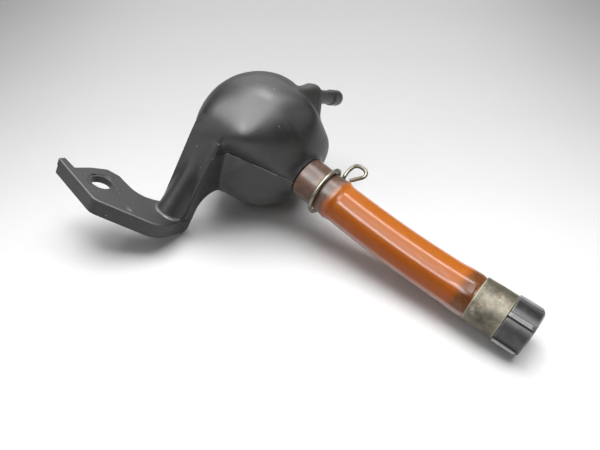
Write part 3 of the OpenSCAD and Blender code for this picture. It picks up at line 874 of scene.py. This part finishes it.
def moulded_black():
    """Satin black plastic: clouded, dusty, scratched and light on worn edges, with painted highlights on
    its lips and glints, painted shade in its nooks and painted floor light low down.
    """
    f = Finish("moulded_black")
    at = f.mark("place", "Vector")
    rubbed = f.mark("rubbed")
    broad = f.noise(at, 0.06, 3.0, 0.55)
    patch = f.noise(at, 0.35, 4.0, 0.6)
    grain = f.noise(at, 3.2, 2.0, 0.6)
    # Painted shade in nooks and creases and along the seam's line.
    deep = f.fade(f.mark("nook"), 0.06, 0.25)
    chance = f.node("SeparateColor", {}, {"Color": f.cells(at, 0.42, "Color")}, "Red")
    dust = f.fade(f.cells(at, 0.42), 0.06, 0.11, 1.0, 0.0) * (chance > 0.86)
    strokes = f.noise(f.stretch(at, (0.5, 3.6, 0.9), (20, 35, 10)), 1.1, 3.0, 0.55)
    scratch = f.fade(abs(strokes - 0.5), 0.0, 0.008, 1.0, 0.0) * f.fade(patch, 0.52, 0.66)
    # Light edge wear, raised along the tab's front edge and the seam's lip by painted highlights.
    ragged = f.mark("edge") + rubbed * 0.06 + (f.noise(at, 1.4, 4.0, 0.65) - 0.5) * 0.16
    worn = f.fade(ragged, 0.13, 0.27) * (rubbed * 0.9 + 0.1)
    nick = f.near(at, NICK_AT, 0.35, 0.5) * f.fade(grain, 0.3, 0.5)
    smear = f.near(f.stretch(at, (0.55, 1, 1)), SMEAR_AT, 0.3, 0.7) * f.fade(patch, 0.35, 0.6)
    # Painted highlights: glints along the weld and at the heel's foot.
    glint = f.mark("bright") * f.fade(grain, 0.30, 0.55)
    colour = f.mix(f.fade(broad, 0.35, 0.68), (0.018, 0.0182, 0.0175), (0.030, 0.030, 0.0285))
    colour = f.layers(colour, [
        (f.fade(patch, 0.55, 0.8) * 0.35, (0.055, 0.053, 0.049)),
        # Painted floor light on the lower band and the web.
        (f.mark("dulled") * (patch * 0.5 + 0.25), (0.13, 0.127, 0.122)),
        # Edge wear, with the painted highlights on the tab's front edge and the seam's lip.
        (worn * 0.75, (0.20, 0.193, 0.18)),
        (scratch * 0.30, (0.14, 0.137, 0.13)),
        (dust * 0.8, (0.30, 0.29, 0.27)),
        (smear * 0.6, (0.26, 0.25, 0.235)),
        # Painted glints.
        (glint * 0.8, (0.42, 0.41, 0.40)),
        (nick, (0.004, 0.004, 0.004)),
        # Painted shade in the nooks, lifted where glints are painted.
        (deep * (0.8 - glint * 0.8), (0.006, 0.006, 0.006))])
    rough = 0.40 + (broad - 0.5) * 0.22 + (grain - 0.5) * 0.10 + worn * 0.10 + dust * 0.3 + deep * 0.25
    normal = f.bump(grain + scratch * -0.6 + dust * 0.8, 0.030)
    return f.done({"Base Color": colour, "Roughness": rough, "Normal": normal, "Specular IOR Level": 0.6})


def amber_vinyl():
    """Vinyl aged to amber and dull on the spigot, with painted light: lighter along its upper side, a
    painted floor reflection under it, and painted shade, brown over the spigot and dark round the plug's
    stem.
    """
    f = Finish("amber_vinyl")
    at = f.mark("place", "Vector")
    along, high = f.mark("along"), f.mark("high")
    broad = f.noise(at, 0.10, 3.0, 0.5)
    fine = f.noise(at, 0.8, 3.0, 0.6)
    # Painted light: lighter towards the tube's upper side, darker towards its lower side.
    amber = f.ramp(high * 0.5 + 0.5 + (broad - 0.5) * 0.14, [
        (0.0, (0.24, 0.048, 0.008)), (0.30, (0.33, 0.070, 0.007)), (0.62, (0.40, 0.090, 0.008)),
        (0.85, (0.52, 0.135, 0.014)), (1.0, (0.56, 0.16, 0.02))])
    # Painted shade: brown, with stains, where the black spigot sits inside the tube.
    stain = f.fade(f.noise(at, 0.25, 3.0, 0.55), 0.40, 0.66)
    cuff = f.mix(stain, (0.085, 0.034, 0.014), (0.17, 0.082, 0.046))
    cuff = f.mix(f.fade(f.noise(at, 0.45, 2.0, 0.5, 0.6), 0.6, 0.72) * 0.6, cuff, (0.30, 0.10, 0.03))
    # Painted shade: dark round the plug's stem inside the tube.
    stem = f.mix(f.fade(fine, 0.4, 0.65), (0.12, 0.045, 0.018), (0.20, 0.085, 0.035))
    # Painted reflection of the floor: a pale band along the tube's lower side, weaker over the cuff.
    painted_floor_reflection = f.fade(f.mark("under"), 0.90, 1.0) * f.fade(along, 12.0, 20.0, 0.3, 1.0)
    colour = f.layers(cuff, [
        (f.fade(along + (broad - 0.5) * 5, 12.2, 15.2), amber),
        (f.fade(along + (broad - 0.5) * 4, 61.4, 64.4) * 0.85, stem),
        (f.fade(fine, 0.62, 0.8) * 0.12, (0.16, 0.05, 0.02)),
        (painted_floor_reflection * (0.4 + broad * 0.5), (0.52, 0.42, 0.40))])
    aged = f.fade(along + (broad - 0.5) * 4, 13.5, 16.0, 1.0, 0.0)
    rough = 0.20 + (fine - 0.5) * 0.08 + aged * 0.20
    normal = f.bump(f.noise(at, 0.5, 2.0, 0.4), 0.018)
    return f.done({
        "Base Color": colour, "Roughness": rough, "Normal": normal, "IOR": 1.53,
        "Subsurface Weight": 0.25, "Subsurface Radius": (0.004, 0.0016, 0.0005), "Subsurface Scale": 1.0,
        "Specular IOR Level": 0.22, "Coat Weight": aged * 0.5, "Coat Roughness": 0.36})


def passivated_wire():
    """Dull olive spring wire with dark specks."""
    f = Finish("passivated_wire")
    at = f.mark("place", "Vector")
    broad = f.noise(at, 0.4, 3.0, 0.55)
    fine = f.noise(at, 4.0, 3.0, 0.6)
    colour = f.mix(f.fade(broad, 0.38, 0.66), (0.15, 0.142, 0.10), (0.29, 0.28, 0.22))
    colour = f.mix(f.fade(fine, 0.6, 0.75) * 0.4, colour, (0.06, 0.052, 0.035))
    rough = 0.36 + (fine - 0.5) * 0.24
    normal = f.bump(fine, 0.02)
    return f.done({"Base Color": colour, "Roughness": rough, "Normal": normal, "Metallic": 0.75})


def tarnished_sheet():
    """Blotched yellowish sheet with some rust and bright rims."""
    f = Finish("tarnished_sheet")
    at = f.mark("place", "Vector")
    broad = f.noise(at, 0.22, 4.0, 0.6)
    fine = f.noise(at, 1.3, 5.0, 0.65)
    rust = f.fade(f.noise(at, 0.35, 3.0, 0.6, 0.4), 0.60, 0.72)
    colour = f.ramp(broad * 0.62 + fine * 0.38, [
        (0.34, (0.045, 0.039, 0.026)), (0.46, (0.105, 0.094, 0.065)), (0.56, (0.165, 0.150, 0.106)),
        (0.66, (0.40, 0.37, 0.29))])
    colour = f.layers(colour, [
        (rust * 0.6, (0.15, 0.07, 0.038)),
        (f.fade(f.mark("edge"), 0.2, 0.8) * 0.5, (0.52, 0.48, 0.34))])
    rough = 0.50 + (fine - 0.5) * 0.34 + rust * 0.15
    normal = f.bump(fine + broad * 0.6, 0.035)
    return f.done({"Base Color": colour, "Roughness": rough, "Normal": normal, "Metallic": 0.35})


def worn_plug():
    """Black plastic, greyed, with light worn edges and painted shade in its nooks."""
    f = Finish("worn_plug")
    at = f.mark("place", "Vector")
    broad = f.noise(at, 0.22, 4.0, 0.6)
    fine = f.noise(at, 1.6, 4.0, 0.6)
    worn = f.fade(f.mark("edge") + (fine - 0.5) * 0.22, 0.09, 0.26)
    colour = f.mix(f.fade(broad, 0.38, 0.66), (0.024, 0.024, 0.0245), (0.062, 0.061, 0.062))
    colour = f.layers(colour, [
        (f.fade(fine, 0.58, 0.76) * 0.45, (0.11, 0.105, 0.105)),
        (worn * 0.8, (0.27, 0.265, 0.26)),
        # Painted shade in the nooks between the ribs.
        (f.fade(f.mark("nook"), 0.05, 0.22) * 0.7, (0.01, 0.01, 0.01))])
    rough = 0.36 + (fine - 0.5) * 0.26 + worn * 0.08
    normal = f.bump(fine + broad * 0.5, 0.045)
    return f.done({"Base Color": colour, "Roughness": rough, "Normal": normal})


def pale_floor():
    """White floor with painted light falloff: it greys towards the back and the sides."""
    f = Finish("pale_floor")
    at = f.node("TexCoord", {}, {}, "Object")
    aside = f.node("SeparateXYZ", {}, {"Vector": at}, "X") - 0.068
    back = f.node("SeparateXYZ", {}, {"Vector": at}, "Y")
    # Painted light falloff towards the back, and below it towards the sides.
    tones = [
        (0.07, 0.95), (0.167, 0.80), (0.21, 0.72), (0.283, 0.61), (0.385, 0.51), (0.505, 0.44), (1, 0.34)]
    colour = f.ramp((back + 0.1) / 0.6, [(stop, (tone, tone, tone * 1.004)) for stop, tone in tones])
    square = aside * aside
    sides = 0.35 + 0.65 / (1 + 840 * square * square)
    fine = f.noise(at, 60.0, 3.0, 0.6)
    colour = f.mix(sides * (0.985 + fine * 0.03), (0, 0, 0), colour)
    return f.done({"Base Color": colour, "Roughness": 0.55 + (fine - 0.5) * 0.1, "Specular IOR Level": 0.3})


# The tank's mouldings.

MOULDING_CELL = 0.36
EDGE_REACH = 0.7
SEAM_TURN_Y = 22
# Stretches along x where painted glints go along the weld, as middles and half-lengths.
WELD_GLINTS = [(28.6, 2.4), (39, 4)]


def streak(gap, width):
    """One where a gap is none, fading over a width to both sides."""
    return np.exp(-(gap / width) ** 2)


def edge_marks(field, points):
    """Marks of a surface's edges and nooks."""
    proud = bulge(field, points, EDGE_REACH)
    return {"edge": np.clip(proud, 0, 1), "nook": np.clip(-proud, 0, 1)}


def moulding_marks(field, points):
    """Marks of a tank moulding: its edges; its nooks and the seam's line, for painted shade; glints along
    the weld and a line and glint at the heel's foot, for painted highlights; the tab's front edge and the
    seam's lip, for painted highlights with the wear; and the lower band and the web, for painted floor
    light."""
    x, y, z = points.T
    height = to_parting(points)[:, 2]
    marks = edge_marks(field, points)
    # The seam's line is laid into the nook mark as painted shade.
    down_arm = streak(seam(y, z), 0.3) * (x > 25.2) * (z > 2)
    line = np.where(y < SEAM_TURN_Y, down_arm, streak(height, 0.25))
    marks["nook"] = np.maximum(marks["nook"], 0.4 * line)
    # Painted glints along the weld, and a painted highlight line and glint round the heel's foot.
    shown = sum(np.abs(x - at) < half for at, half in WELD_GLINTS)
    weld = 0.7 * streak(height + 0.45, 0.2) * shown * (y < 30)
    foot = streak(ARM_Y - heel_face(x, z) - 0.25 - y, 0.45) * (np.abs(z) < 0.9) * (y < 13.5)
    foot = foot * np.maximum(0.45 * rise(HEEL_X - x, 0, 1.5), rise(x, 21.4, 22.6))
    marks["bright"] = weld + foot
    # Painted highlights along the tab's front edge and along the seam's lip.
    gap = outline(x, y, np.concatenate([FLANGE_EDGE, FLANGE_EDGE[-2:0:-1]]))
    tab_edge = streak(gap, 0.5) * rise(z, -0.8, -0.3) * rise(25.5 - x, 0, 2)
    seam_lip = streak(height + 0.5, 0.25) * (x > 26)
    marks["rubbed"] = np.maximum(0.7 * tab_edge, 0.3 * seam_lip)
    # Painted floor light: the lower band and the web are lightened as if lit from the floor.
    belly = rise(-height, 9, 17) * (y > SEAM_TURN_Y)
    web = rise(seam(y, z), 0.2, 0.6) * (x > 25.6) * (y < 24) * (z > 0)
    marks["dulled"] = np.maximum(belly, 0.4 * web)
    return {"place": points, **marks}


black = moulded_black()

points, faces, normals = skin(upper_field, (-16.6, -10.2, -4.2), (50.6, 62.8, 60), MOULDING_CELL)
upper = piece("upper_moulding", points, faces, moulding_marks(upper_field, points), normals)
upper.data.materials.append(black)
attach(upper, "tank")
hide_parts("tank_upper_half", "stay_tab")

points, faces, normals = skin(lower_field, (-16.6, -10.2, -7.4), (65, 62.8, 42), MOULDING_CELL)
lower = piece("lower_moulding", points, faces, moulding_marks(lower_field, points), normals)
lower.data.materials.append(black)
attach(lower, "tank")
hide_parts("tank_lower_half")

# The breather nipple: its root, neck, barb and bore, as places along it and radii.

NIPPLE_R, BARB_R, NIPPLE_BORE_R = 2.45, 2.95, 1.5
ROOT_START, BARB_ROUND_AT = -1.5, 18.4


def nipple_line(s):
    """Centre of the nipple, the way it runs and its upper side, at length s."""
    run, up = np.array([0, 1.0, 0]), np.array([0, 0, 1.0])
    one = np.ones_like(s)[:, None]
    return NIPPLE_AT + s[:, None] * run, one * run, one * up


nipple_profile = np.concatenate([
    [[ROOT_START, 2.9], [-0.2, 3.1]], arc((0.62, 3.07), 0.62, 180, 270, 6)[1:],
    [[s, NIPPLE_R] for s in (3, 8, 12.2)], [[12.6, 2.5], [12.9, 2.68], [13.2, 2.86], [13.6, 2.94]],
    [[s, BARB_R] for s in (14.2, 16, 18)], arc((18.7, 1.05), 1.9, 88, 14, 10), [[20.58, 1.62]],
    [[s, NIPPLE_BORE_R] for s in (20.45, 19, 12, 2, ROOT_START)]])
points, faces, local = turned(nipple_profile, nipple_line, 64)
# Painted shade at the nipple's root, where it meets the boss.
nipple = piece("nipple", points, faces, {
    "place": points, "edge": np.clip((local[:, 0] - BARB_ROUND_AT) * 0.05, 0, 0.08),
    "nook": np.where(local[:, 0] < 0.4, 0.15, 0)})
nipple.data.materials.append(black)
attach(nipple, "tank")
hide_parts("breather_nipple")

# The drain tube: outside with the swells over the spigot's bead and the plug's stem, then its bore.

TUBE_R, CUFF_R, TUBE_BORE_R, STEM_BORE_R = 7.0, 7.15, 5.0, 5.12
CUFF_ROUND, TAIL_ROUND = 0.5, 0.4
# The side across the tube, as y and z, that gets the painted floor reflection:
FLOOR_REFLECTION_SIDE = (-0.91, -0.42)

tube_knots = [[s, CUFF_R] for s in (CUFF_ROUND, 6, 10.6)]
tube_knots += [[12.6, 7.26], [13.6, 7.42], [14.4, 7.36], [15.3, 7.06]]
tube_knots += [[16.4, 6.9], [18.4, 6.95], [22, 6.98]]
tube_knots += [[s, TUBE_R] for s in (30, 45, 57)]
tube_knots += [[60, 7.04], [62.2, 7.2], [64.5, 7.3], [66.4, 7.24], [67.5, 7.02]]
tube_knots += [[s, TUBE_R] for s in (72, TUBE - TAIL_ROUND)]
tube_profile = np.concatenate([
    arc((CUFF_ROUND, CUFF_R - CUFF_ROUND), CUFF_ROUND, 180, 90, 6)[:-1], smooth_path(tube_knots, 10),
    arc((TUBE - TAIL_ROUND, TUBE_R - TAIL_ROUND), TAIL_ROUND, 90, 0, 5)[1:],
    [[TUBE, 5.6], [TUBE, 5.2], [70, STEM_BORE_R], [62.3, STEM_BORE_R], [61.6, TUBE_BORE_R]],
    [[s, TUBE_BORE_R] for s in range(58, 16, -4)],
    [[15.4, 5.1], [13.4, 5.62], [12, 5.3], [4, 5.25], [0, 5.35]]])
points, faces, local = turned(tube_profile, tube_line, 112)
r = np.hypot(local[:, 1], local[:, 2])
tube = piece("vinyl_tube", points, faces, {
    "place": local, "along": local[:, 0], "high": local[:, 2] / r, "under": local[:, 1:] @ FLOOR_REFLECTION_SIDE / r})
tube.data.materials.append(amber_vinyl())
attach(tube, "tank")
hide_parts("drain_tube")

# The plug's band: outside, far rim, inside and near rim.

BAND_FROM, BAND_R, BAND_INNER_R, BAND_ROUND, BAND_FLAT = 67.5, 7.48, 7.05, 0.15, 0.7
BAND_RIM = 0.35


def band_dents(s, a):
    """Shallow dents and waves of the sheet, at place s along the tube and angle a round it."""
    return 0.03 * np.sin(3 * a + 1.1) * np.sin(0.5 * s) + 0.02 * np.sin(7 * a + s * 0.9)


band_profile = np.concatenate([
    arc((BAND_FROM + BAND_ROUND, BAND_R - BAND_ROUND), BAND_ROUND, 180, 90, 5),
    [[s, BAND_R] for s in np.linspace(BAND_FROM + BAND_FLAT, TUBE - BAND_FLAT, 15)],
    arc((TUBE - BAND_ROUND, BAND_R - BAND_ROUND), BAND_ROUND, 90, 0, 5),
    [[TUBE, 7.12], [TUBE - 0.1, 7.06]], [[s, BAND_INNER_R] for s in np.linspace(76, 69, 6)],
    [[BAND_FROM + 0.1, 7.06], [BAND_FROM, 7.12]]])
points, faces, local = turned(band_profile, tube_line, 112, band_dents)
rim = np.minimum(local[:, 0] - BAND_FROM, TUBE - local[:, 0])
band = piece("sheet_band", points, faces, {"place": local, "edge": 1 - rise(rim, 0, BAND_RIM)})
band.data.materials.append(tarnished_sheet())
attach(band, "tank")
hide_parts("plug_band")

# The plug, in the tube's tail.

PLUG_CELL = 0.2

points, faces, normals = skin(plug_field, (-15.2, -8.8, -8.8), (8.8, 8.8, 8.8), PLUG_CELL)
centre, run, up = (v[0] for v in tube_line([TUBE]))
tail = np.stack([run, np.cross(up, run), up])
plug = piece("ribbed_plug", points @ tail + centre, faces, {
    "place": points, **edge_marks(plug_field, points)}, normals @ tail)
plug.data.materials.append(worn_plug())
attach(plug, "plug")
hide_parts("drain_plug")

# The wire clip, in the drain's own frame.

WIRE_R, WIRE_ASIDE = 0.675, (0.87, -0.35, -0.35)
CLIP_AT, CLIP_R, CLIP_PITCH, CLIP_START, CLIP_SWEEP = 9.1, 8.175, 2.2, 8, 374
CLIP_STEPS, LOOP_STEPS, RING_END = 161, 12, 156
LOOP_OUT, LOOP_ASIDE = unit([6, 2.9, 5.2]), unit([2.5, -3.15, -1.4])
LOOP = np.array([
    [1.4, -1.8], [3.4, -3.2], [5.1, -3.1], [6.5, -2.3], [7.8, -1.0], [8.2, 0.3], [7.5, 1.3], [5.6, 1.6],
    [4.0, 1.7], [2.6, 1.8]])


def clip_line():
    """Middle of the clip's wire: once round the tube and then the finger loop."""
    t = np.linspace(0, 1, CLIP_STEPS)
    a = np.radians(CLIP_START + CLIP_SWEEP * t)
    ring = np.stack([CLIP_PITCH * (t - 0.5), CLIP_R * np.cos(a), CLIP_R * np.sin(a)], -1)
    loop = ring[-1] + LOOP[:, :1] * LOOP_OUT + LOOP[:, 1:] * LOOP_ASIDE
    turn_off = np.concatenate([ring[RING_END:RING_END + 1], ring[-1:], loop])
    return np.concatenate([ring[:RING_END], smooth_path(turn_off, LOOP_STEPS)]) + [CLIP_AT, 0, 0]


points, faces = wire(clip_line(), WIRE_R, WIRE_ASIDE)
clip = piece("wire_clip", from_drain(points), faces, {"place": points})
clip.data.materials.append(passivated_wire())
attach(clip, "clip")
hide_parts("tube_clip")

# The stage, in metres.

FLOOR_HALF, OVERHEAD_Z = 3, 0.9
BACKDROP_GLOW = 0.08
LENS, SENSOR, NEAREST = 28.8, 36, 0.002
CAMERA_AT, CAMERA_TILT = (0.06754, -0.12593, 0.10555), 45

floor_z = cad_box[0].z
mesh = bpy.data.meshes.new("floor")
corners = [(i * FLOOR_HALF, j * FLOOR_HALF, floor_z) for i, j in ((-1, -1), (1, -1), (1, 1), (-1, 1))]
mesh.from_pydata(corners, [], [(0, 1, 2, 3)])
floor = bpy.data.objects.new("floor", mesh)
bpy.context.scene.collection.objects.link(floor)
mesh.materials.append(pale_floor())


def softbox(name, at, look, size, glow, spin=0, lights=True, shines=True):
    """An even panel of light that faces a spot. It lights matt colour, or shines in gloss, or both."""
    light = bpy.data.lights.new(name, "AREA")
    light.shape, light.size, light.size_y = "RECTANGLE", *size
    light.energy = glow * math.pi * size[0] * size[1]
    made = bpy.data.objects.new(name, light)
    made.location = at
    facing = (Vector(look) - Vector(at)).to_track_quat("-Z", "Y")
    made.rotation_euler = (facing @ Quaternion((0, 0, 1), math.radians(spin))).to_euler()
    made.visible_diffuse, made.visible_glossy = lights, shines
    bpy.context.scene.collection.objects.link(made)


def overhead(name, x, y, size, glow):
    """A panel that looks straight down and lies square to the drain. It shines in gloss alone."""
    softbox(name, (x, y, OVERHEAD_Z), (x, y, 0), size, glow, YAW, lights=False)


softbox("key_softbox", (0.16, 0.28, 0.90), (0.06, 0, 0), (0.9, 0.7), 6.4, shines=False)
softbox("left_fill", (-0.9, -0.3, 0.6), (0, 0, 0), (0.8, 0.8), 1.1, shines=False)
overhead("top_panel_left", -0.342, 0.048, (0.32, 0.9), 6.5)
overhead("top_panel_middle", -0.138, -0.129, (0.22, 0.9), 2.0)
overhead("top_panel_right", 0.043, -0.286, (0.26, 0.9), 6.5)
overhead("left_panel", -0.56, -0.06, (0.53, 0.30), 14.0)
overhead("right_panel", 0.015, -0.41, (0.4, 0.4), 15.0)
softbox("rear_panel", (-0.1, 0.5, 0.85), (0, 0, 0), (0.8, 0.4), 3.0, lights=False)
softbox("front_strip", (-0.47, -0.45, 0.85), (0.05, 0, 0), (0.4, 0.12), 42.0, YAW, lights=False)
overhead("back_strip", 0.20, 0.27, (0.45, 0.07), 50.0)
softbox("back_panel", (0.05, 0.75, 0.40), (0, 0, 0.02), (0.9, 0.5), 1.5, lights=False)
softbox("left_card", (-0.85, -0.25, 0.25), (0, 0, 0), (0.6, 0.5), 1.2, lights=False)
softbox("right_card", (0.80, -0.20, 0.45), (0, 0, 0), (0.6, 0.5), 1.1, lights=False)

world = bpy.data.worlds.new("studio")
world.use_nodes = True
world.node_tree.nodes["Background"].inputs["Color"].default_value = (1, 1, 1, 1)
world.node_tree.nodes["Background"].inputs["Strength"].default_value = BACKDROP_GLOW
bpy.context.scene.world = world
bpy.context.scene.view_settings.view_transform = "Standard"

lens = bpy.data.cameras.new("camera")
lens.lens, lens.sensor_width, lens.clip_start = LENS, SENSOR, NEAREST
camera = bpy.data.objects.new("camera", lens)
camera.location = CAMERA_AT
camera.rotation_euler = (math.radians(CAMERA_TILT), 0, 0)
bpy.context.scene.collection.objects.link(camera)
bpy.context.scene.camera = camera
